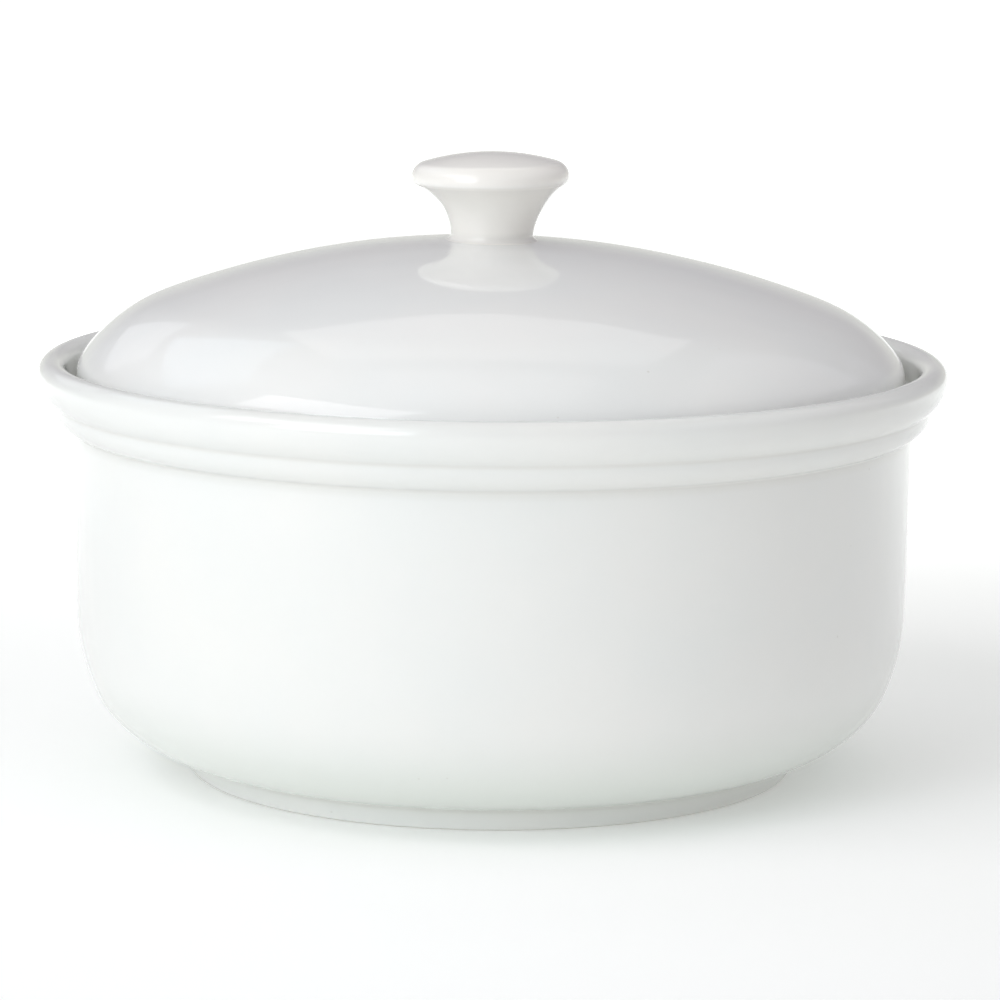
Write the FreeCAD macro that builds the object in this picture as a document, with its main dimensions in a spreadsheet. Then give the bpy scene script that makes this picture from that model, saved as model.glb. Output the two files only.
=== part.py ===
"""Covered casserole dish: a round dish, its domed lid and the knob on the lid.

Row frame: +Z up, origin at the centre of the foot's resting plane, millimetres.
Every piece is turned about the Z axis, so each outline is a sketch of radius
(sketch X) against level (sketch Y), revolved through a full turn.
"""
import FreeCAD, Part
import math
import os

import Sketcher

# Driving dimensions, in millimetres. The lid's levels are counted from its seat, and the
# knob's from the flat face that it stands on.
SIZES = {
    # foot
    "foot_radius": 72.0,
    "foot_height": 4.6,
    "foot_flare": 0.6,
    "foot_round": 1.0,
    "foot_width": 4.6,
    "foot_fillet": 3.0,
    "foot_recess": 3.8,
    "recess_draft": 0.6,
    "recess_fillet": 2.5,
    # outside of the bowl
    "base_radius": 75.4,
    "base_level": 5.65,
    "base_curve": 29.4,
    "turn_curve": 20.0,
    "side_curve": 50.0,
    "side_start_level": 20.2,
    "wall_start_level": 38.6,
    "wall_radius": 98.4,
    "wall_taper": 0.95,
    # bead and flared rim
    "bead_level": 82.0,
    "bead_curve": 6.2,
    "groove_radius": 103.9,
    "groove_level": 88.2,
    "flare_curve": 7.5,
    "rim_radius": 107.5,
    "lip_curve": 3.4,
    "dish_height": 98.2,
    # inside of the bowl
    "gallery_radius": 100.3,
    "ledge_level": 90.3,
    "gallery_fillet": 1.2,
    "ledge_round": 1.2,
    "inner_radius": 93.0,
    "inner_curve": 30.0,
    "floor_level": 9.4,
    # lid
    "seat_clearance": 0.2,
    "lid_radius": 97.9,
    "lid_edge_round": 2.0,
    "lid_edge_level": 3.25,
    "lid_edge_curve": 9.3,
    "shoulder_curve": 38.6,
    "dome_curve": 224.8,
    "lid_rise": 35.2,
    "knob_pad_radius": 11.2,
    "skirt_radius": 91.6,
    "skirt_depth": 6.0,
    "skirt_thickness": 4.2,
    "skirt_round": 1.6,
    "lid_thickness": 5.2,
    "under_curve": 219.6,
    "under_fillet": 6.0,
    # knob
    "knob_base_radius": 10.7,
    "knob_base_fillet": 1.2,
    "neck_radius": 9.7,
    "neck_level": 1.3,
    "neck_curve": 14.9,
    "cap_under_radius": 17.7,
    "cap_under_level": 13.25,
    "cap_edge_radius": 18.44,
    "cap_edge_level": 13.95,
    "cap_edge_curve": 3.7,
    "cap_dome_curve": 57.0,
    "knob_height": 20.75,
}

ORIGIN = -1
VERTICAL_AXIS = -2
START = 1
END = 2
CENTRE = 3
OUTWARD = 1
INWARD = -1

doc = FreeCAD.newDocument("covered_casserole_dish")
sheet = doc.addObject("Spreadsheet::Sheet", "Sizes")


def fill_sheet():
    """Write each driving dimension into the sheet, with its name as the cell's alias."""
    for row, (name, size) in enumerate(SIZES.items(), start=1):
        sheet.set("A%d" % row, name)
        sheet.set("B%d" % row, str(size))
        sheet.setAlias("B%d" % row, name)
    doc.recompute()


def amount(text):
    """What a sum of sheet names, such as "rim_radius - lip_curve", comes to."""
    total = 0.0
    sign = 1.0
    for word in text.split():
        if word in "+-":
            sign = 1.0 if word == "+" else -1.0
        else:
            total += sign * SIZES[word]
    return total


def formula(text):
    """The same sum as an expression that reads the sheet's cells."""
    return " ".join(word if word in "+-" else "Sizes." + word for word in text.split())


def first_value(coordinate):
    """A bound coordinate's size, or the starting guess of one that is left to tangency."""
    return amount(coordinate) if isinstance(coordinate, str) else coordinate


def arc_through(start, end, radius, side):
    """An arc of the given radius between two points.

    side says on which hand of the way from start to end the centre lies: OUTWARD is the
    right hand, INWARD the left. Returns the arc and whether it runs from end to start.
    """
    chord = end - start
    middle = (start + end) * 0.5
    height = math.sqrt(max(radius ** 2 - (chord.Length / 2) ** 2, 0.0))
    right = FreeCAD.Vector(chord.y, -chord.x, 0).normalize()
    centre = middle + right * height * side
    circle = Part.Circle(centre, FreeCAD.Vector(0, 0, 1), radius)
    start_angle = math.atan2(start.y - centre.y, start.x - centre.x)
    end_angle = math.atan2(end.y - centre.y, end.x - centre.x)
    clockwise = side == OUTWARD
    if clockwise:
        return Part.ArcOfCircle(circle, end_angle, start_angle), True
    return Part.ArcOfCircle(circle, start_angle, end_angle), False


def bind(sketch, name, constraint, text):
    """Add a named size to the sketch and bind it to the sheet."""
    index = sketch.addConstraint(constraint)
    sketch.renameConstraint(index, name)
    sketch.setExpression("Constraints." + name, formula(text))


def place_point(sketch, name, edge, point, corner):
    """Hold one end of an edge at its radius and level, where these are stated."""
    radius, level = corner
    if radius == "":
        sketch.addConstraint(Sketcher.Constraint("PointOnObject", edge, point, VERTICAL_AXIS))
    elif isinstance(radius, str):
        size = Sketcher.Constraint("DistanceX", ORIGIN, START, edge, point, amount(radius))
        bind(sketch, name + "_radius", size, radius)
    if level == "":
        sketch.addConstraint(Sketcher.Constraint("PointOnObject", edge, point, ORIGIN))
    elif isinstance(level, str):
        size = Sketcher.Constraint("DistanceY", ORIGIN, START, edge, point, amount(level))
        bind(sketch, name + "_level", size, level)


def outline(sketch, path):
    """Draw a closed outline in a sketch and bind its sizes to the sheet.

    path is a list of edges, each a dictionary:
      name    the name of the corner that the edge starts from
      at      that corner's (radius, level): text is a sum of sheet names, "" is zero, and
              a number is only a first guess, settled by the tangent edges around it
      curve   the arc's radius, as text or as a first guess; left out on a straight edge
      side    OUTWARD or INWARD, where the arc's centre lies
      smooth  True where the edge runs on smoothly into the next one
      centred True where the arc's centre is on the axis
      upright, level  True on a straight edge that is vertical or horizontal
    """
    points = []
    for edge in path:
        radius, level = (0.0 if c == "" else first_value(c) for c in edge["at"])
        points.append(FreeCAD.Vector(radius, level, 0))

    ends = []
    for number, edge in enumerate(path):
        start = points[number]
        end = points[(number + 1) % len(points)]
        if "curve" in edge:
            arc, reverse = arc_through(start, end, first_value(edge["curve"]), edge["side"])
            index = sketch.addGeometry(arc, False)
            ends.append((index, END, START) if reverse else (index, START, END))
        else:
            index = sketch.addGeometry(Part.LineSegment(start, end), False)
            ends.append((index, START, END))

    for number, edge in enumerate(path):
        index, start, end = ends[number]
        following, next_start, _ = ends[(number + 1) % len(ends)]
        joint = "Tangent" if edge.get("smooth") else "Coincident"
        sketch.addConstraint(Sketcher.Constraint(joint, index, end, following, next_start))
        place_point(sketch, edge["name"], index, start, edge["at"])
        if isinstance(edge.get("curve"), str):
            size = Sketcher.Constraint("Radius", index, amount(edge["curve"]))
            bind(sketch, edge["name"] + "_curve", size, edge["curve"])
        if edge.get("centred"):
            on_axis = Sketcher.Constraint("PointOnObject", index, CENTRE, VERTICAL_AXIS)
            sketch.addConstraint(on_axis)
        if edge.get("upright"):
            sketch.addConstraint(Sketcher.Constraint("Vertical", index))
        if edge.get("level"):
            sketch.addConstraint(Sketcher.Constraint("Horizontal", index))


def new_body(label):
    """An empty body whose label names its piece."""
    body = doc.addObject("PartDesign::Body", label)
    body.Label = label
    return body


def new_sketch(body, name, path):
    """A sketch on the body's own XZ plane, holding one closed outline."""
    sketch = body.newObject("Sketcher::SketchObject", name)
    plane = next(f for f in body.Origin.OriginFeatures if f.Role == "XZ_Plane")
    sketch.AttachmentSupport = [(plane, "")]
    sketch.MapMode = "FlatFace"
    doc.recompute()
    outline(sketch, path)
    doc.recompute()
    if not sketch.FullyConstrained:
        raise RuntimeError(name + " is not fully constrained")
    return sketch


def turn(body, kind, name, sketch):
    """Add (Revolution) or cut (Groove) one outline through a full turn about the axis."""
    feature = body.newObject("PartDesign::" + kind, name)
    feature.Profile = sketch
    feature.ReferenceAxis = (sketch, ["V_Axis"])
    feature.Angle = 360.0
    before = body.Shape.Volume if kind == "Groove" else 0.0
    doc.recompute()
    if kind == "Groove" and feature.Shape.Volume >= before:
        raise RuntimeError(name + " cuts nothing")
    return feature


def dish_outer_path():
    """Outside of the dish: foot, belly, wall, bead, flared rim and round lip."""
    wall_top = "wall_radius + wall_taper"
    lip_centre = "rim_radius - lip_curve"
    return [
        {"name": "axis_foot", "at": ("", ""), "level": True},
        {"name": "foot_sole", "at": ("foot_radius - foot_round", 0.0),
         "curve": "foot_round", "side": INWARD},
        {"name": "foot_side", "at": ("foot_radius", "foot_round")},
        {"name": "foot_top", "at": ("foot_radius + foot_flare", "foot_height"),
         "curve": "foot_fillet", "side": OUTWARD},
        {"name": "base", "at": ("base_radius", "base_level"),
         "curve": "base_curve", "side": INWARD, "smooth": True},
        {"name": "turn", "at": (90.9, 14.6),
         "curve": "turn_curve", "side": INWARD, "smooth": True},
        {"name": "side", "at": (94.4, "side_start_level"),
         "curve": "side_curve", "side": INWARD, "smooth": True},
        {"name": "wall", "at": ("wall_radius", "wall_start_level")},
        {"name": "bead", "at": (wall_top, "bead_level"),
         "curve": "bead_curve", "side": INWARD},
        {"name": "groove", "at": ("groove_radius", "groove_level"),
         "curve": "flare_curve", "side": INWARD},
        {"name": "rim", "at": ("rim_radius", "dish_height - lip_curve"),
         "curve": "lip_curve", "side": INWARD},
        {"name": "lip_top", "at": (lip_centre, "dish_height"),
         "curve": "lip_curve", "side": INWARD},
        {"name": "lip_inside", "at": (lip_centre + " - lip_curve", "dish_height - lip_curve"),
         "level": True},
        {"name": "axis_top", "at": ("", 94.8)},
    ]


def dish_inner_path():
    """Space inside the dish, below the lip: the gallery, the ledge and the bowl."""
    lip_inside = "rim_radius - lip_curve - lip_curve"
    return [
        {"name": "axis_floor", "at": ("", "floor_level"), "level": True, "smooth": True},
        {"name": "floor_end", "at": (63.0, 9.4),
         "curve": "inner_curve", "side": INWARD, "smooth": True},
        {"name": "bowl_wall", "at": (93.0, 39.4), "upright": True},
        {"name": "ledge_edge", "at": ("inner_radius", "ledge_level - ledge_round"),
         "curve": "ledge_round", "side": OUTWARD},
        {"name": "ledge", "at": ("inner_radius + ledge_round", "ledge_level")},
        {"name": "gallery_corner", "at": ("gallery_radius - gallery_fillet", "ledge_level"),
         "curve": "gallery_fillet", "side": INWARD},
        {"name": "gallery", "at": ("gallery_radius", "ledge_level + gallery_fillet")},
        {"name": "lip_inside", "at": (lip_inside, "dish_height - lip_curve"), "level": True},
        {"name": "axis_top", "at": ("", 94.8)},
    ]


def foot_recess_path():
    """Space under the base, inside the foot ring."""
    recess_radius = "foot_radius - foot_width"
    top_radius = recess_radius + " - recess_draft"
    return [
        {"name": "recess_mouth", "at": ("", "")},
        {"name": "foot_inside", "at": (recess_radius, "")},
        {"name": "recess_corner", "at": (top_radius, "foot_recess - recess_fillet"),
         "curve": "recess_fillet", "side": INWARD},
        {"name": "recess_top", "at": (top_radius + " - recess_fillet", "foot_recess"),
         "level": True},
        {"name": "recess_axis", "at": ("", 3.8)},
    ]


def lid_path():
    """Section of the lid: dome, rounded shoulder, edge, flat seat, skirt and underside.

    Level zero is the seat, the flat ring that rests on the dish's ledge.
    """
    skirt_inside = "skirt_radius - skirt_thickness"
    return [
        {"name": "seat", "at": ("lid_radius - lid_edge_round", ""),
         "curve": "lid_edge_round", "side": INWARD},
        {"name": "edge_side", "at": ("lid_radius", "lid_edge_round"), "smooth": True},
        {"name": "edge", "at": ("lid_radius", "lid_edge_level"),
         "curve": "lid_edge_curve", "side": INWARD, "smooth": True},
        {"name": "shoulder", "at": (95.85, 9.07),
         "curve": "shoulder_curve", "side": INWARD, "smooth": True},
        {"name": "dome", "at": (79.4, 21.0),
         "curve": "dome_curve", "side": INWARD, "centred": True},
        {"name": "pad_edge", "at": ("knob_pad_radius", "lid_rise"), "level": True},
        {"name": "pad_centre", "at": ("", 35.2)},
        {"name": "under_top", "at": ("", "lid_rise - lid_thickness"),
         "curve": "under_curve", "side": OUTWARD, "centred": True, "smooth": True},
        {"name": "under_end", "at": (82.5, 13.9),
         "curve": "under_fillet", "side": OUTWARD, "smooth": True},
        {"name": "skirt_inside", "at": (87.4, 8.0), "upright": True},
        {"name": "skirt_end", "at": (skirt_inside, "skirt_round - skirt_depth"),
         "curve": "skirt_round", "side": INWARD},
        {"name": "skirt_sole", "at": (skirt_inside + " + skirt_round", "- skirt_depth"),
         "level": True},
        {"name": "skirt_corner", "at": ("skirt_radius - skirt_round", -6.0),
         "curve": "skirt_round", "side": INWARD},
        {"name": "skirt_side", "at": ("skirt_radius", "skirt_round - skirt_depth")},
        {"name": "seat_corner", "at": ("skirt_radius", "")},
    ]


def knob_path():
    """Section of the knob: small base fillet, flared neck, crisp edge and domed cap.

    Level zero is the flat face that stands on the lid's pad.
    """
    return [
        {"name": "foot_centre", "at": ("", ""), "level": True},
        {"name": "foot_edge", "at": ("knob_base_radius", 0.0),
         "curve": "knob_base_fillet", "side": OUTWARD},
        {"name": "neck", "at": ("neck_radius", "neck_level"),
         "curve": "neck_curve", "side": OUTWARD},
        {"name": "cap_under", "at": ("cap_under_radius", "cap_under_level")},
        {"name": "cap_edge", "at": ("cap_edge_radius", "cap_edge_level"),
         "curve": "cap_edge_curve", "side": INWARD, "smooth": True},
        {"name": "cap_dome", "at": (15.9, 18.5),
         "curve": "cap_dome_curve", "side": INWARD, "centred": True},
        {"name": "cap_top", "at": ("", "knob_height")},
    ]


def make_dish():
    """The dish: a solid outer form, hollowed out above and recessed below."""
    body = new_body("dish_body")
    outer = new_sketch(body, "dish_outside", dish_outer_path())
    turn(body, "Revolution", "dish_form", outer)
    inner = new_sketch(body, "dish_inside", dish_inner_path())
    turn(body, "Groove", "dish_hollow", inner)
    recess = new_sketch(body, "foot_inside", foot_recess_path())
    turn(body, "Groove", "foot_hollow", recess)
    return body


def make_lid():
    """The lid without its knob, standing a little above the dish's ledge."""
    body = new_body("lid_shell")
    section = new_sketch(body, "lid_section", lid_path())
    turn(body, "Revolution", "lid_form", section)
    body.setExpression("Placement.Base.z", formula("ledge_level + seat_clearance"))
    return body


def make_knob():
    """The knob, standing on the flat pad at the top of the dome."""
    body = new_body("lid_knob")
    section = new_sketch(body, "knob_section", knob_path())
    turn(body, "Revolution", "knob_form", section)
    pad_level = formula("ledge_level + seat_clearance + lid_rise")
    body.setExpression("Placement.Base.z", pad_level)
    return body


def check_document():
    """Stop if any object failed to recompute."""
    for item in doc.Objects:
        if "Invalid" in item.State or "Error" in item.State:
            raise RuntimeError(item.Name + " is " + ", ".join(item.State))


def write_piece(body):
    """Check a finished piece and write it under its own label."""
    shape = body.Shape
    if shape.isNull() or not shape.isValid() or len(shape.Solids) != 1:
        raise RuntimeError(body.Label + " is not one valid solid")
    shape.exportStep(os.path.join("parts", body.Label + ".step"))
    box = shape.BoundBox
    print("%-10s z %.2f to %.2f, width %.2f, volume %.0f mm3"
          % (body.Label, box.ZMin, box.ZMax, box.XLength, shape.Volume))


fill_sheet()
pieces = [make_dish(), make_lid(), make_knob()]
doc.recompute()
check_document()
os.makedirs("parts", exist_ok=True)
for piece in pieces:
    write_piece(piece)
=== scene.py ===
"""Looks of a covered casserole dish: white glazed dish, domed lid and mushroom knob.

Lengths are in metres. Each piece is turned about the Z axis: its section is drawn as an
outline of (radius, level) points, softened as a coat of glaze softens every corner, and
spun into a mesh that is then warped a little, as ware warps in the kiln. The sizes that
fit together come from the CAD frame's boxes.
"""

import math

import bpy
import numpy as np
from mathutils import Matrix, Vector


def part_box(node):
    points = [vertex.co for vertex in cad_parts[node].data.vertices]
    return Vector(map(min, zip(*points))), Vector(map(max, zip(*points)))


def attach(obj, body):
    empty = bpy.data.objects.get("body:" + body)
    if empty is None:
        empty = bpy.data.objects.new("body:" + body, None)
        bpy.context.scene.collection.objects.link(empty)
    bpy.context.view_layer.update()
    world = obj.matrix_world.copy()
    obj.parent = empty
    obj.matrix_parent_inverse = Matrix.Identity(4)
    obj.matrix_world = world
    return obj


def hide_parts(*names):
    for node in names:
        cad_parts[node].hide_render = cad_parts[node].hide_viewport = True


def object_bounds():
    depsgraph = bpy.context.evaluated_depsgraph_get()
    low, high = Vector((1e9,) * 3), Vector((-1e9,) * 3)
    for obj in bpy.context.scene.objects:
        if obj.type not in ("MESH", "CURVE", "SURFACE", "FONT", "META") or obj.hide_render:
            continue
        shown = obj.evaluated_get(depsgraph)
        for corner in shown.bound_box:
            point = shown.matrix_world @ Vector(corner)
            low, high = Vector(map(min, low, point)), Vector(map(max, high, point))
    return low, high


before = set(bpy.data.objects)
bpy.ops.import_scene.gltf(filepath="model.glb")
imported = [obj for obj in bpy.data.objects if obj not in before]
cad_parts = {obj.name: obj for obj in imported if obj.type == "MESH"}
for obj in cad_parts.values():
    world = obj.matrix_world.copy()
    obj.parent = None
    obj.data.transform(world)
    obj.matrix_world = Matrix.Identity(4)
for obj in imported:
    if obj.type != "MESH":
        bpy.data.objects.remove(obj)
cad_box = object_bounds()

MM = 0.001
SEGMENTS = 256
FINE_STEP = 0.1 * MM
GLAZE_SOFTENING = 0.45 * MM
KNOB_SOFTENING = 0.18 * MM
HOLLOW_WIDTH = 1.2 * MM
HOLLOW_TURN = math.radians(50.0)
MOST_TURN = math.radians(4.5)
LONGEST_EDGE = 3.0 * MM

# sizes that the frame gives
dish_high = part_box("dish_body")[1]
lid_low, lid_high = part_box("lid_shell")
knob_low, knob_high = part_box("lid_knob")
rim_radius = dish_high.x
dish_height = dish_high.z
lid_radius = lid_high.x
pad_level = knob_low.z
cap_radius = knob_high.x
knob_top = knob_high.z

# sizes that more than one outline or function uses
LEDGE_DROP = 7.9 * MM
SEAT_GAP = 0.2 * MM
LIP_CURVE = 3.4 * MM
FOOT_INSET = 35.5 * MM
DOME_CURVE = 224.8 * MM
PAD_RADIUS = 11.2 * MM
ledge_level = dish_height - LEDGE_DROP
seat_level = ledge_level + SEAT_GAP
dome_centre = pad_level - math.sqrt(DOME_CURVE ** 2 - PAD_RADIUS ** 2)


# ---------------------------------------------------------------- outlines

class Outline:
    """A turned section, drawn from point to point with straight lines and arcs."""

    def __init__(self, radius, level):
        self.points = [np.array((radius, level), float)]

    def line(self, radius, level):
        """A straight stretch to a point."""
        start = self.points[-1]
        end = np.array((radius, level), float)
        count = max(2, math.ceil(np.linalg.norm(end - start) / FINE_STEP))
        for number in range(1, count + 1):
            self.points.append(start + (end - start) * number / count)

    def arc(self, radius, level, curve, left=True):
        """A round stretch to a point, turning left or right with the given radius."""
        start = self.points[-1]
        end = np.array((radius, level), float)
        chord = end - start
        length = np.linalg.norm(chord)
        side = 1.0 if left else -1.0
        normal = np.array((-chord[1], chord[0])) / length * side
        offset = math.sqrt(max(curve ** 2 - length ** 2 / 4, 0.0))
        centre = (start + end) / 2 + normal * offset
        sweep = 2 * math.asin(min(1.0, length / 2 / curve)) * side
        count = max(4, math.ceil(abs(sweep) * curve / FINE_STEP))
        for number in range(1, count + 1):
            angle = sweep * number / count
            turn = np.array(((math.cos(angle), -math.sin(angle)),
                             (math.sin(angle), math.cos(angle))))
            self.points.append(centre + turn @ (start - centre))


def softened(points, reach):
    """The outline at even steps, with its corners rounded as by a coat of glaze."""
    points = np.array(points)
    spacing = np.linalg.norm(np.diff(points, axis=0), axis=1)
    along = np.concatenate(([0.0], np.cumsum(spacing)))
    even = np.linspace(0.0, along[-1], int(along[-1] / FINE_STEP) + 1)
    radius = np.interp(even, along, points[:, 0])
    level = np.interp(even, along, points[:, 1])
    half = int(4 * reach / FINE_STEP)
    weight = np.exp(-0.5 * (np.arange(-half, half + 1) * FINE_STEP / reach) ** 2)
    weight /= weight.sum()
    # past the axis the section is its own mirror image
    wide_radius = np.pad(radius, half, "reflect", reflect_type="odd")
    wide_level = np.pad(level, half, "reflect")
    return np.column_stack((np.convolve(wide_radius, weight, "valid"),
                            np.convolve(wide_level, weight, "valid")))


def hollowness(points):
    """How strongly each place of a fine outline curves inwards (+1) or outwards (-1)."""
    step = np.diff(points, axis=0)
    heading = np.unwrap(np.arctan2(step[:, 1], step[:, 0]))
    width = int(HOLLOW_WIDTH / FINE_STEP)
    bend = np.diff(heading, prepend=heading[0], append=heading[-1])
    bend = np.convolve(bend, np.ones(width), "same")
    return np.clip(-bend / HOLLOW_TURN, -1.0, 1.0)


def kept_places(points):
    """The places along a fine outline that its shape needs: more where it turns more."""
    step = np.diff(points, axis=0)
    heading = np.unwrap(np.arctan2(step[:, 1], step[:, 0]))
    kept = [0]
    turned = 0.0
    walked = 0.0
    for number in range(1, len(points) - 1):
        turned += abs(heading[number] - heading[number - 1])
        walked += np.linalg.norm(step[number - 1])
        if turned > MOST_TURN or walked > LONGEST_EDGE:
            kept.append(number)
            turned = 0.0
            walked = 0.0
    if len(points) - 1 - kept[-1] < 3:
        kept.pop()
    kept.append(len(points) - 1)
    return kept


def dish_outline():
    """Foot recess, foot ring, belly, wall, bead, flared rim, lip, gallery, ledge, bowl."""
    foot_radius = rim_radius - FOOT_INSET
    foot_inside = foot_radius - 4.6 * MM
    foot_round = 1.0 * MM
    foot_flare = 0.6 * MM
    foot_height = 4.6 * MM
    foot_fillet = 3.0 * MM
    recess_top = 3.8 * MM
    recess_fillet = 2.5 * MM
    recess_draft = 0.6 * MM
    belly_start = (rim_radius - 32.1 * MM, 5.65 * MM)
    belly_end = (rim_radius - 16.62 * MM, 14.66 * MM)
    belly_curve = 29.4 * MM
    turn_end = (rim_radius - 13.11 * MM, 20.2 * MM)
    turn_curve = 20.0 * MM
    wall_start_level = 38.6 * MM
    side_curve = 50.0 * MM
    wall_taper = 0.95 * MM
    bead_curve = 6.2 * MM
    groove_inset = 3.6 * MM
    flare_curve = 7.5 * MM
    wall_radius = rim_radius - 9.1 * MM
    bead_level = dish_height - 16.2 * MM
    groove_level = dish_height - 10.0 * MM
    rim_level = dish_height - LIP_CURVE
    gallery_radius = rim_radius - 7.2 * MM
    inner_radius = rim_radius - 14.5 * MM
    inner_curve = 30.0 * MM
    floor_level = 9.4 * MM
    corner = 1.2 * MM
    shape = Outline(0.0, recess_top)
    shape.line(foot_inside - recess_draft - recess_fillet, recess_top)
    shape.arc(foot_inside - recess_draft, recess_top - recess_fillet, recess_fillet, left=False)
    shape.line(foot_inside, 0.0)
    shape.line(foot_radius - foot_round, 0.0)
    shape.arc(foot_radius, foot_round, foot_round)
    shape.line(foot_radius + foot_flare, foot_height)
    shape.arc(*belly_start, foot_fillet, left=False)
    shape.arc(*belly_end, belly_curve)
    shape.arc(*turn_end, turn_curve)
    shape.arc(wall_radius, wall_start_level, side_curve)
    shape.line(wall_radius + wall_taper, bead_level)
    shape.arc(rim_radius - groove_inset, groove_level, bead_curve)
    shape.arc(rim_radius, rim_level, flare_curve)
    shape.arc(rim_radius - LIP_CURVE, dish_height, LIP_CURVE)
    shape.arc(rim_radius - 2 * LIP_CURVE, rim_level, LIP_CURVE)
    shape.line(gallery_radius, ledge_level + corner)
    shape.arc(gallery_radius - corner, ledge_level, corner, left=False)
    shape.line(inner_radius + corner, ledge_level)
    shape.arc(inner_radius, ledge_level - corner, corner)
    shape.line(inner_radius, floor_level + inner_curve)
    shape.arc(inner_radius - inner_curve, floor_level, inner_curve, left=False)
    shape.line(0.0, floor_level)
    return shape.points


def dome_level(radius):
    """The level of the lid's dome at a radius."""
    return dome_centre + math.sqrt(DOME_CURVE ** 2 - radius ** 2)


def meeting_point(first, first_reach, second, second_reach):
    """The point at given distances from two points, on the left of the way between them."""
    first = np.array(first)
    second = np.array(second)
    apart = np.linalg.norm(second - first)
    ahead = (second - first) / apart
    along = (apart ** 2 + first_reach ** 2 - second_reach ** 2) / (2 * apart)
    aside = math.sqrt(first_reach ** 2 - along ** 2)
    return first + ahead * along + np.array((-ahead[1], ahead[0])) * aside


def lid_outline():
    """Underside, skirt, flat seat, upright edge, rounded shoulder and dome."""
    skirt_radius = lid_radius - 6.3 * MM
    skirt_inside = skirt_radius - 4.2 * MM
    skirt_end = lid_low.z
    skirt_round = 1.6 * MM
    seat_round = 2.0 * MM
    edge_level = 3.25 * MM
    thickness = 5.2 * MM
    under_top = pad_level - thickness
    under_curve = DOME_CURVE - thickness
    under_end = 82.5 * MM
    under_drop = 5.0 * MM
    under_fillet = 6.0 * MM
    under_end_level = under_top - under_curve + math.sqrt(under_curve ** 2 - under_end ** 2)
    edge_curve = 9.3 * MM
    shoulder_curve = 38.6 * MM
    edge_centre = np.array((lid_radius - edge_curve, seat_level + edge_level))
    top_centre = np.array((0.0, dome_centre))
    shoulder_centre = meeting_point(top_centre, DOME_CURVE - shoulder_curve,
                                    edge_centre, shoulder_curve - edge_curve)
    edge_share = shoulder_curve / (shoulder_curve - edge_curve)
    edge_end = shoulder_centre + (edge_centre - shoulder_centre) * edge_share
    dome_share = DOME_CURVE / (DOME_CURVE - shoulder_curve)
    shoulder_end = top_centre + (shoulder_centre - top_centre) * dome_share
    shape = Outline(0.0, under_top)
    shape.arc(under_end, under_end_level, under_curve, left=False)
    shape.arc(skirt_inside, under_end_level - under_drop, under_fillet, left=False)
    shape.line(skirt_inside, skirt_end + skirt_round)
    shape.arc(skirt_inside + skirt_round, skirt_end, skirt_round)
    shape.line(skirt_radius - skirt_round, skirt_end)
    shape.arc(skirt_radius, skirt_end + skirt_round, skirt_round)
    shape.line(skirt_radius, seat_level)
    shape.line(lid_radius - seat_round, seat_level)
    shape.arc(lid_radius, seat_level + seat_round, seat_round)
    shape.line(lid_radius, edge_centre[1])
    shape.arc(*edge_end, edge_curve)
    shape.arc(*shoulder_end, shoulder_curve)
    shape.arc(0.0, dome_level(0.0), DOME_CURVE)
    return shape.points


def knob_outline():
    """Base just under the dome, small fillet, flared neck, crisp edge and domed cap."""
    base_radius = 11.3 * MM
    base_fillet = 1.6 * MM
    sunk = 0.05 * MM
    neck_start = (9.72 * MM, pad_level + 1.5 * MM)
    neck_end = (cap_radius - 0.88 * MM, pad_level + 13.25 * MM)
    neck_curve = 14.9 * MM
    cap_curve = 57.0 * MM
    cap_edge_curve = 3.7 * MM
    edge_radius = cap_radius - cap_edge_curve
    cap_centre = np.array((0.0, knob_top - cap_curve))
    edge_reach = math.sqrt((cap_curve - cap_edge_curve) ** 2 - edge_radius ** 2)
    edge_centre = np.array((edge_radius, cap_centre[1] + edge_reach))
    edge_start_angle = math.radians(-16.0)
    edge_start = edge_centre + cap_edge_curve * np.array((math.cos(edge_start_angle),
                                                          math.sin(edge_start_angle)))
    edge_end = cap_centre + (edge_centre - cap_centre) * cap_curve / (cap_curve - cap_edge_curve)
    shape = Outline(0.0, dome_level(base_radius) - sunk)
    shape.line(base_radius, dome_level(base_radius) - sunk)
    shape.arc(*neck_start, base_fillet, left=False)
    shape.arc(*neck_end, neck_curve, left=False)
    shape.line(*edge_start)
    shape.arc(*edge_end, cap_edge_curve)
    shape.arc(0.0, knob_top, cap_curve)
    return shape.points


# ---------------------------------------------------------------- meshes

# how far up and how far in the glaze is wiped off a face that is left bare
WIPE_HEIGHT = 0.35 * MM
WIPE_FADE = 0.2 * MM
FOOT_REACH = 10.0 * MM
SEAT_REACH = 6.0 * MM
# the dish: its rim is oval by this share of its size, and dips in three places by this much
RIM_OVAL = 0.0012
RIM_OVAL_PHASE = 0.6
RIM_DIP = 0.10 * MM
RIM_DIP_PHASE = 1.1
# the lid: how far to the left it sits, how its dome leans, and the height of its long waves
LID_SHIFT = 0.46 * MM
DOME_TILT = 0.011
WAVE_HEIGHT = 0.035 * MM
# the lid's warp grows to full over the first distance in from its edge; its waves are nil
# within the second distance of the axis, and full at twice that
EDGE_FADE = lid_radius / 6
KNOB_FADE = 12.0 * MM
# lobes round the lid, wave length across it, phase and share of each wave
DOME_WAVES = (
    (0, 0.041, 0.3, 0.5),
    (1, 0.067, 1.9, 0.5),
    (2, 0.052, 4.0, 0.35),
    (3, 0.080, 2.2, 0.3),
)
# knob heights, and how far to the left the knob stands at each
KNOB_SHIFT_LEVELS = (2.0 * MM, 8.0 * MM, 13.5 * MM)
KNOB_SHIFTS = (0.42 * MM, 0.20 * MM, 0.92 * MM)
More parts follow.
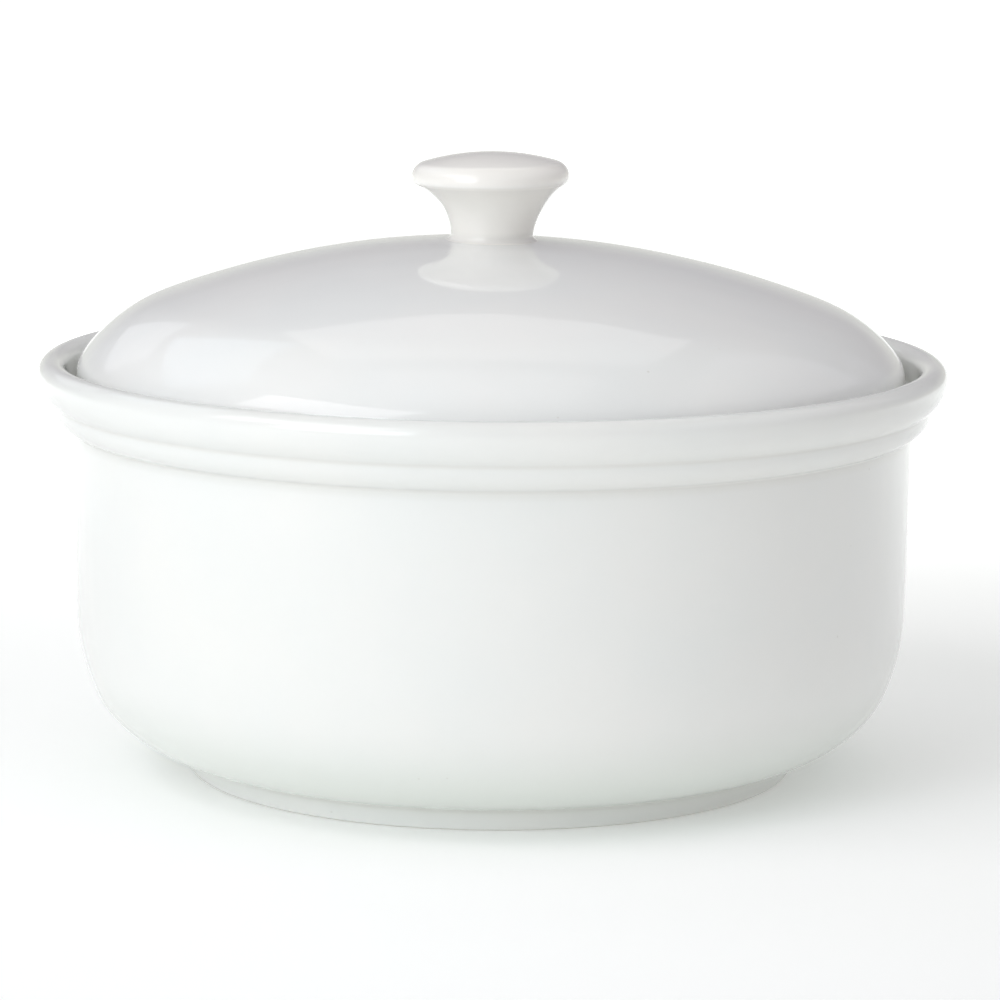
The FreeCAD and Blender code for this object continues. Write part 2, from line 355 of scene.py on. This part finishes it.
# knob heights, and how it leans at each: with the dome below, the other way at the cap
KNOB_TILT_LEVELS = (10.0 * MM, 14.0 * MM)
KNOB_TILTS = (-DOME_TILT, 0.012)


def turned_piece(name, outline, warp, softening, unglazed):
    """A closed mesh turned from an outline.

    Two values are stored per point for the material: how hollow the place is, where glaze
    pools with painted shade and the rounded edges get a painted highlight, and how bare it is,
    where the glaze was wiped off before firing.
    """
    fine = softened(outline, softening)
    hollow = hollowness(fine)
    bare = unglazed(fine[:, 0], fine[:, 1])
    places = kept_places(fine)
    rings = fine[places[1:-1]]
    angles = np.arange(SEGMENTS) * 2 * math.pi / SEGMENTS
    around = np.column_stack((np.cos(angles), np.sin(angles)))
    points = np.empty((len(rings), SEGMENTS, 3))
    points[:, :, :2] = rings[:, 0, None, None] * around[None]
    points[:, :, 2] = rings[:, 1, None]
    first_pole = (0.0, 0.0, fine[0, 1])
    last_pole = (0.0, 0.0, fine[-1, 1])
    points = np.vstack((points.reshape(-1, 3), first_pole, last_pole))

    def corner(ring, segment):
        return ring * SEGMENTS + segment % SEGMENTS

    pole = len(rings) * SEGMENTS
    faces = []
    for segment in range(SEGMENTS):
        faces.append((pole, corner(0, segment + 1), corner(0, segment)))
        for ring in range(len(rings) - 1):
            faces.append((corner(ring, segment), corner(ring, segment + 1),
                          corner(ring + 1, segment + 1), corner(ring + 1, segment)))
        last = len(rings) - 1
        faces.append((pole + 1, corner(last, segment), corner(last, segment + 1)))

    mesh = bpy.data.meshes.new(name)
    mesh.from_pydata(warp(points).tolist(), [], faces)
    mesh.shade_smooth()
    for key, along in (("hollowness_shade_and_glaze", hollow), ("bare_clay", bare)):
        values = np.concatenate((np.repeat(along[places[1:-1]], SEGMENTS), (0.0, 0.0)))
        attribute = mesh.attributes.new(key, "FLOAT", "POINT")
        attribute.data.foreach_set("value", values.astype(np.float32))
    mesh.validate()
    piece = bpy.data.objects.new(name, mesh)
    bpy.context.scene.collection.objects.link(piece)
    return piece


def wiped_below(level, face_level):
    """Bare clay up to a little above a wiped face, fading out over WIPE_FADE."""
    return np.clip((face_level + WIPE_HEIGHT - level) / WIPE_FADE, 0.0, 1.0)


def wiped_foot(radius, level):
    """The dish is bare where it stood on the kiln shelf: the flat sole of its foot ring."""
    on_ring = radius > rim_radius - FOOT_INSET - FOOT_REACH
    return np.where(on_ring, wiped_below(level, 0.0), 0.0)


def wiped_seat(radius, level):
    """The lid is bare on the flat of its seat, so that it does not stick in the kiln."""
    on_seat = radius > lid_radius - SEAT_REACH
    return np.where(on_seat, wiped_below(level, seat_level), 0.0)


def glazed_all_over(radius, level):
    """A piece with no bare clay."""
    return np.zeros(len(radius))


def ripple(points, size, waves):
    """A gentle unevenness of a turned surface: a sum of long waves round and across it."""
    radius = np.hypot(points[:, 0], points[:, 1])
    angle = np.arctan2(points[:, 1], points[:, 0])
    height = np.zeros(len(points))
    for lobes, length, phase, share in waves:
        height += share * np.cos(lobes * angle + phase + 2 * math.pi * radius / length)
    return size * height


def dish_warp(points):
    """The dish is very slightly oval, and its rim a little uneven."""
    points = points.copy()
    angle = np.arctan2(points[:, 1], points[:, 0])
    share = np.clip(points[:, 2] / dish_height, 0.0, 1.0) ** 2
    growth = 1.0 - RIM_OVAL * share * (1 + np.cos(2 * angle + RIM_OVAL_PHASE)) / 2
    points[:, 0] *= growth
    points[:, 1] *= growth
    dip = RIM_DIP * share ** 3 * (1 - np.cos(3 * angle + RIM_DIP_PHASE)) / 2
    points[:, 2] -= dip
    return points


def lid_warp(points):
    """The lid sits a little to the left, its dome a little fuller there, with long waves."""
    points = points.copy()
    radius = np.hypot(points[:, 0], points[:, 1])
    above = np.clip((points[:, 2] - seat_level) / (pad_level - seat_level), 0.0, 1.0)
    inward = np.clip((lid_radius - radius) / EDGE_FADE, 0.0, 1.0)
    clear_of_knob = np.clip((radius - KNOB_FADE) / KNOB_FADE, 0.0, 1.0)
    uneven = ripple(points, WAVE_HEIGHT, DOME_WAVES) * clear_of_knob
    points[:, 2] += (uneven - DOME_TILT * points[:, 0]) * above * inward
    points[:, 0] -= LID_SHIFT
    return points


def knob_warp(points):
    """The knob follows the dome at its base, and its cap sits a little to the left."""
    points = points.copy()
    height = points[:, 2] - pad_level
    shift = np.interp(height, KNOB_SHIFT_LEVELS, KNOB_SHIFTS)
    tilt = np.interp(height, KNOB_TILT_LEVELS, KNOB_TILTS)
    points[:, 2] += tilt * points[:, 0]
    points[:, 0] -= shift
    return points


# ---------------------------------------------------------------- materials

GLAZE_IOR = 1.52
BODY_SPECULAR = 0.15
COAT_ROUGHNESS = 0.035
# the range of the glaze body's roughness, and the roughness of bare clay
GLAZE_ROUGHNESS = (0.34, 0.40)
CLAY_ROUGHNESS = 0.8
# scales in waves per metre
CLOUD_SCALE = 28.0
SPECK_SCALE = 260.0
SPECK_CHOICE_SCALE = 90.0
GRAIN_SCALE = 1400.0
SMOOTH_SCALE = 60.0
WAVE_SCALE = 45.0
PEEL_SCALE = 420.0
# the bump of the surface, and how much of it is orange peel beside the long waves
BUMP_HEIGHT = 0.18 * MM
BUMP_STRENGTH = 0.6
PEEL_SHARE = 0.05
# how much of the pooled colour with painted shade, the thin colour with painted highlight and the
# specked colour shows at most
POOL_AND_SHADE_SHARE = 0.5
THIN_AND_HIGHLIGHT_SHARE = 0.35
SPECK_SHARE = 0.35
# how far the grain of the clay frays the edge of a wiped face
CLAY_RAGGED = 0.3
# the two whites that each piece's glaze drifts between; the knob's are painted lighter and warmer
# than the lid's, as painted light on the knob
DISH_TINT = ((0.826, 0.838, 0.816, 1.0), (0.846, 0.848, 0.822, 1.0))
LID_TINT = ((0.845, 0.856, 0.846, 1.0), (0.865, 0.866, 0.850, 1.0))
KNOB_LIT_TINT = ((0.905, 0.885, 0.845, 1.0), (0.925, 0.900, 0.855, 1.0))
# the glaze where it pools in a hollow, darker as painted shade in the creases, and a darker,
# greener colour painted as shade on the dish's lower belly
GLAZE_POOL_AND_SHADE = (0.745, 0.74, 0.70, 1.0)
LOW_BELLY_SHADE = (0.725, 0.760, 0.715, 1.0)
# the painted shade on the lower belly begins at the top level, is full just above the foot, and
# fades out over the foot;
# only the dish is low enough to have it
SHADE_TOP = 30.0 * MM
SHADE_FULL = 7.5 * MM
SHADE_FADE_START = 6.5 * MM
SHADE_FADE_END = 3.6 * MM
# thin glaze on the rounded edges, lighter as a painted highlight
GLAZE_THIN_AND_HIGHLIGHT = (0.88, 0.875, 0.86, 1.0)
GLAZE_SPECK = (0.55, 0.52, 0.47, 1.0)
CLAY_DARK = (0.68, 0.65, 0.60, 1.0)
CLAY_PALE = (0.80, 0.78, 0.74, 1.0)


class Nodes:
    """A node tree that is written from the inside out, each call giving a socket."""

    def __init__(self, name):
        self.material = bpy.data.materials.new(name)
        self.material.use_nodes = True
        self.tree = self.material.node_tree
        self.tree.nodes.clear()

    def add(self, kind, settings=None, output=0, **inputs):
        """Adds a node with its settings and inputs, and gives one of its outputs.

        An input is named by its label in small letters, or by i and its number.
        """
        node = self.tree.nodes.new(kind)
        for key, value in (settings or {}).items():
            setattr(node, key, value)
        for key, value in inputs.items():
            if key[0] == "i" and key[1:].isdigit():
                socket = node.inputs[int(key[1:])]
            else:
                socket = node.inputs[key.replace("_", " ").title()]
            if isinstance(value, bpy.types.NodeSocket):
                self.tree.links.new(value, socket)
            else:
                socket.default_value = value
        return node.outputs[output]

    def math(self, operation, first, second=0.0):
        """A sum, product or other operation on two values or sockets."""
        return self.add("ShaderNodeMath", {"operation": operation}, i0=first, i1=second)

    def noise(self, place, scale, detail=2.0):
        """Smooth noise from 0 to 1, with the scale in waves per metre."""
        return self.add("ShaderNodeTexNoise", vector=place, scale=scale, detail=detail)

    def ramp(self, value, low, high, low_to=0.0, high_to=1.0, kind="LINEAR"):
        """A value stretched from one range to another, and held at its ends."""
        return self.add("ShaderNodeMapRange", {"interpolation_type": kind},
                        i0=value, i1=low, i2=high, i3=low_to, i4=high_to)

    def mix(self, share, first, second):
        """A mix of two colours."""
        return self.add("ShaderNodeMix", {"data_type": "RGBA"}, 2, i0=share, i6=first, i7=second)


def glaze_material(name, place_offset, tint):
    """White glaze on a pale body: clean gloss, faint orange peel, pooling with painted shade in
    the hollows, a painted highlight on the rounded edges and painted shade low on the dish.
    """
    nodes = Nodes(name)
    own_place = nodes.add("ShaderNodeTexCoord", output="Object")
    place = nodes.add("ShaderNodeVectorMath", {"operation": "ADD"}, i0=own_place, i1=place_offset)
    level = nodes.add("ShaderNodeSeparateXYZ", output="Z", i0=own_place)
    # painted shade on the dish's lower belly, darker and greener towards the foot
    low_belly_shade = nodes.math("MULTIPLY", nodes.ramp(level, SHADE_TOP, SHADE_FULL, kind="SMOOTHSTEP"),
                     nodes.ramp(level, SHADE_FADE_END, SHADE_FADE_START))
    hollow = nodes.add("ShaderNodeAttribute", {"attribute_name": "hollowness_shade_and_glaze"}, "Fac")
    # painted shade in the hollows, partly pooled glaze, and a painted highlight on the rounded
    # edges, partly thin glaze
    pooled_and_shaded = nodes.ramp(hollow, 0.02, 0.7, 0.0, POOL_AND_SHADE_SHARE)
    thin_and_highlight = nodes.ramp(hollow, -0.35, -1.0, 0.0, THIN_AND_HIGHLIGHT_SHARE)

    cloud = nodes.ramp(nodes.noise(place, CLOUD_SCALE, 3.0), 0.35, 0.65)
    colour = nodes.mix(cloud, tint[0], tint[1])
    colour = nodes.mix(low_belly_shade, colour, LOW_BELLY_SHADE)
    colour = nodes.mix(pooled_and_shaded, colour, GLAZE_POOL_AND_SHADE)
    colour = nodes.mix(thin_and_highlight, colour, GLAZE_THIN_AND_HIGHLIGHT)
    speck_cells = nodes.add("ShaderNodeTexVoronoi", {"feature": "F1"},
                            vector=place, scale=SPECK_SCALE)
    speck_choice = nodes.noise(place, SPECK_CHOICE_SCALE, 1.0)
    speck = nodes.math("MULTIPLY", nodes.ramp(speck_cells, 0.10, 0.05),
                       nodes.ramp(speck_choice, 0.66, 0.70))
    colour = nodes.mix(nodes.math("MULTIPLY", speck, SPECK_SHARE), colour, GLAZE_SPECK)
    grain = nodes.noise(place, GRAIN_SCALE, 3.0)
    wiped = nodes.add("ShaderNodeAttribute", {"attribute_name": "bare_clay"}, "Fac")
    ragged = nodes.math("ADD", wiped, nodes.math("MULTIPLY", grain, CLAY_RAGGED))
    bare = nodes.ramp(ragged, 0.6, 0.75)
    colour = nodes.mix(bare, colour, nodes.mix(grain, CLAY_DARK, CLAY_PALE))

    rough = nodes.ramp(nodes.noise(place, SMOOTH_SCALE, 4.0), 0.3, 0.7, *GLAZE_ROUGHNESS)
    rough = nodes.math("MAXIMUM", rough, nodes.math("MULTIPLY", bare, CLAY_ROUGHNESS))
    wave = nodes.noise(place, WAVE_SCALE, 1.0)
    peel = nodes.noise(place, PEEL_SCALE, 2.0)
    height = nodes.math("ADD", wave, nodes.math("MULTIPLY", peel, PEEL_SHARE))
    bump = nodes.add("ShaderNodeBump", height=height, strength=BUMP_STRENGTH, distance=BUMP_HEIGHT)
    shader = nodes.tree.nodes.new("ShaderNodeBsdfPrincipled")
    shader.inputs["IOR"].default_value = GLAZE_IOR
    shader.inputs["Specular IOR Level"].default_value = BODY_SPECULAR
    shader.inputs["Coat Weight"].default_value = 1.0
    shader.inputs["Coat IOR"].default_value = GLAZE_IOR
    shader.inputs["Coat Roughness"].default_value = COAT_ROUGHNESS
    nodes.tree.links.new(colour, shader.inputs["Base Color"])
    nodes.tree.links.new(rough, shader.inputs["Roughness"])
    nodes.tree.links.new(bump, shader.inputs["Normal"])
    nodes.tree.links.new(bump, shader.inputs["Coat Normal"])
    out = nodes.tree.nodes.new("ShaderNodeOutputMaterial")
    nodes.tree.links.new(shader.outputs[0], out.inputs[0])
    return nodes.material


# ---------------------------------------------------------------- pieces

dish = turned_piece("dish_glazed", dish_outline(), dish_warp, GLAZE_SOFTENING, wiped_foot)
lid = turned_piece("lid_glazed", lid_outline(), lid_warp, GLAZE_SOFTENING, wiped_seat)
knob = turned_piece("knob_glazed", knob_outline(), knob_warp, KNOB_SOFTENING, glazed_all_over)
for piece, body, node, tint, offset in (
        (dish, "dish", "dish_body", DISH_TINT, (0.0, 0.0, 0.0)),
        (lid, "lid", "lid_shell", LID_TINT, (1.3, 0.4, 0.7)),
        (knob, "lid", "lid_knob", KNOB_LIT_TINT, (2.1, 1.7, 0.2))):
    piece.data.materials.append(glaze_material(piece.name + "_material", offset, tint))
    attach(piece, body)
    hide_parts(node)


# ---------------------------------------------------------------- floor, light and camera

# the floor glows faintly all over, and more strongly behind the dish, as a lit backdrop does
NEAR_START = 1.0 * rim_radius
NEAR_END = 3.0 * rim_radius
FAR_START = 0.3 * rim_radius
FAR_END = 5.0 * rim_radius
GLOW_NEAR = 0.18
GLOW_FRONT = 0.14
GLOW_BACK = 0.46
FLOOR_HALF = 6.0
FLOOR_GREYS = ((0.90, 0.90, 0.90, 1.0), (0.92, 0.92, 0.92, 1.0))
FLOOR_LIGHT = (0.96, 1.0, 0.95, 1.0)
FLOOR_GRAIN_SCALE = 900.0
FLOOR_ROUGHNESS = 0.9
FLOOR_SPECULAR = 0.1


def floor_material():
    """Matt pale paper with a faint glow of its own, so that it reads as white."""
    nodes = Nodes("floor_paper")
    place = nodes.add("ShaderNodeTexCoord", output="Object")
    grain = nodes.noise(place, FLOOR_GRAIN_SCALE)
    shade = nodes.ramp(grain, 0.3, 0.7)
    colour = nodes.mix(shade, *FLOOR_GREYS)
    shader = nodes.tree.nodes.new("ShaderNodeBsdfPrincipled")
    shader.inputs["Roughness"].default_value = FLOOR_ROUGHNESS
    shader.inputs["Specular IOR Level"].default_value = FLOOR_SPECULAR
    shader.inputs["Emission Color"].default_value = FLOOR_LIGHT
    reach = nodes.add("ShaderNodeVectorMath", {"operation": "LENGTH"}, "Value", i0=place)
    behind = nodes.add("ShaderNodeSeparateXYZ", output="Y", i0=place)
    near = nodes.ramp(reach, NEAR_START, NEAR_END, GLOW_NEAR, GLOW_FRONT, "SMOOTHSTEP")
    far = nodes.ramp(behind, FAR_START, FAR_END, 0.0, GLOW_BACK, "SMOOTHSTEP")
    glow = nodes.math("ADD", near, far)
    nodes.tree.links.new(glow, shader.inputs["Emission Strength"])
    nodes.tree.links.new(colour, shader.inputs["Base Color"])
    out = nodes.tree.nodes.new("ShaderNodeOutputMaterial")
    nodes.tree.links.new(shader.outputs[0], out.inputs[0])
    return nodes.material


def make_floor():
    """A wide flat floor under the foot ring."""
    mesh = bpy.data.meshes.new("floor")
    signs = ((-1, -1), (1, -1), (1, 1), (-1, 1))
    corners = [(x * FLOOR_HALF, y * FLOOR_HALF, cad_box[0].z) for x, y in signs]
    mesh.from_pydata(corners, [], [(0, 1, 2, 3)])
    mesh.materials.append(floor_material())
    floor = bpy.data.objects.new("floor", mesh)
    bpy.context.scene.collection.objects.link(floor)


# Each soft box: name, azimuth and elevation in degrees, distance, width and height in metres,
# brightness and colour. One whose name starts with "ceiling" lies flat and faces down.
SOFT_BOXES = (
    ("key_low", -36, 18, 1.3, 0.75, 0.60, 3.65, (0.89, 0.955, 0.985)),
    ("key_high", -54, 43, 1.3, 1.00, 0.58, 2.2, (1.0, 0.97, 1.0)),
    ("right_side", 98, 42, 2.4, 3.20, 1.50, 0.30, (0.92, 0.90, 1.0)),
    ("right_back", 126, 16, 2.2, 1.60, 0.80, 0.10, (0.78, 0.86, 1.0)),
    ("left_back", -148, 22, 2.4, 0.80, 0.60, 0.35, (0.92, 0.95, 1.0)),
    ("left_high", -130, 43, 2.4, 1.30, 0.85, 0.55, (0.72, 0.88, 1.0)),
    ("ceiling_back", 180, 53.5, 2.86, 1.65, 1.75, 0.48, (1.0, 0.97, 0.97)),
    ("ceiling", 0, 86, 2.6, 1.50, 1.20, 0.30, (1.0, 0.95, 0.95)),
)
STRAIGHT_DOWN = (1.0, 0.0, 0.0, 0.0)


def soft_light(name, azimuth, elevation, distance, width, height, radiance, colour):
    """A rectangular soft box that faces the dish. Azimuth 0 is behind the camera."""
    turn = math.radians(azimuth)
    rise = math.radians(elevation)
    level = math.cos(rise)
    way = Vector((math.sin(turn) * level, -math.cos(turn) * level, math.sin(rise)))
    data = bpy.data.lights.new(name, "AREA")
    data.shape = "RECTANGLE"
    data.size = width
    data.size_y = height
    # an area light of a given radiance sends out pi times its area in watts
    data.energy = radiance * width * height * math.pi
    data.color = colour
    light = bpy.data.objects.new(name, data)
    light.location = Vector((0.0, 0.0, dish_height)) + way * distance
    light.rotation_mode = "QUATERNION"
    light.rotation_quaternion = (-way).to_track_quat("-Z", "Y")
    if name.startswith("ceiling"):
        light.rotation_quaternion = STRAIGHT_DOWN
    light.visible_camera = False
    bpy.context.scene.collection.objects.link(light)


ROOM_HORIZON = (0.72, 0.725, 0.69, 1.0)
ROOM_WALLS = (0.41, 0.395, 0.42, 1.0)
ROOM_CEILING = (0.58, 0.59, 0.565, 1.0)
# elevations in degrees between which the horizon gives way to wall, and wall to ceiling
HORIZON_EDGE = (1.0, 13.0)
CEILING_EDGE = (34.0, 60.0)


def make_world():
    """A pale room: light at the horizon, dimmer walls, and a brighter ceiling."""
    world = bpy.data.worlds.new("studio_room")
    world.use_nodes = True
    tree = world.node_tree
    place = tree.nodes.new("ShaderNodeTexCoord")
    parts = tree.nodes.new("ShaderNodeSeparateXYZ")
    tree.links.new(place.outputs["Generated"], parts.inputs[0])

    def blend(edge, first, second):
        """Two colours, the second perhaps a socket, blended between two elevations."""
        share = tree.nodes.new("ShaderNodeMapRange")
        share.interpolation_type = "SMOOTHSTEP"
        share.inputs["From Min"].default_value = math.sin(math.radians(edge[0]))
        share.inputs["From Max"].default_value = math.sin(math.radians(edge[1]))
        tree.links.new(parts.outputs["Z"], share.inputs["Value"])
        mix = tree.nodes.new("ShaderNodeMix")
        mix.data_type = "RGBA"
        tree.links.new(share.outputs[0], mix.inputs[0])
        mix.inputs[6].default_value = first
        if isinstance(second, bpy.types.NodeSocket):
            tree.links.new(second, mix.inputs[7])
        else:
            mix.inputs[7].default_value = second
        return mix.outputs[2]

    upper = blend(CEILING_EDGE, ROOM_WALLS, ROOM_CEILING)
    colour = blend(HORIZON_EDGE, ROOM_HORIZON, upper)
    tree.links.new(colour, tree.nodes["Background"].inputs["Color"])
    bpy.context.scene.world = world


CAMERA_LENS = 168.91
CAMERA_SENSOR = 36.0
CAMERA_PLACE = Vector((0.0, -1.10055, 0.24878))
CAMERA_AIM = Vector((0.00196, 0.0, 0.06353))
CAMERA_ROLL = 0.00822


def make_camera():
    """A long lens a metre away, a little above the lid, rolled by a hair."""
    data = bpy.data.cameras.new("camera")
    data.lens = CAMERA_LENS
    data.sensor_width = CAMERA_SENSOR
    data.clip_start = 0.05
    data.clip_end = 50.0
    camera = bpy.data.objects.new("camera", data)
    ahead = (CAMERA_AIM - CAMERA_PLACE).normalized()
    level_right = ahead.cross(Vector((0.0, 0.0, 1.0))).normalized()
    level_up = level_right.cross(ahead)
    right = level_right * math.cos(CAMERA_ROLL) + level_up * math.sin(CAMERA_ROLL)
    up = level_up * math.cos(CAMERA_ROLL) - level_right * math.sin(CAMERA_ROLL)
    turn = Matrix((right, up, -ahead)).transposed()
    camera.matrix_world = Matrix.Translation(CAMERA_PLACE) @ turn.to_4x4()
    bpy.context.scene.collection.objects.link(camera)
    bpy.context.scene.camera = camera


make_floor()
make_camera()
make_world()
for soft_box in SOFT_BOXES:
    soft_light(*soft_box)
bpy.context.scene.view_settings.view_transform = "Standard"
